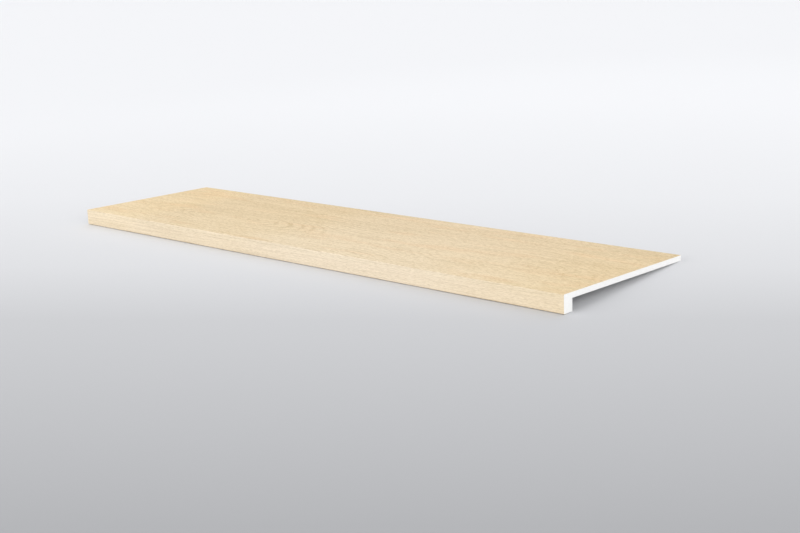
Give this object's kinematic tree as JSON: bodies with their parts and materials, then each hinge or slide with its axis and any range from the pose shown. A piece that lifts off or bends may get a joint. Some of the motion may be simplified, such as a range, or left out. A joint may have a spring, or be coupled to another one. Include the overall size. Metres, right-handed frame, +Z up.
{
  "type": "vinyl stair tread",
  "caption": "Straight stair tread: a thin white rigid-vinyl board with a downturned square lip at the nosing, faced with pale oak-pattern vinyl on top, front and under the lip.",
  "frame": {"origin": "on the floor that the unheld tread lies on, under the middle of its box", "axes": "+X along the nosing, +Y from the nosing to the back edge, +Z up; the walking face slopes 4.01 degrees down to the back, because the tread lies on its lip"},
  "size_m": [1.2, 0.3062, 0.0302],
  "materials": {
    "white_core": "matte",
    "oak_vinyl": "satin"
  },
  "bodies": {
    "root": {"core_board": "white_core", "vinyl_sheet": "oak_vinyl"}
  },
  "joints": []
}
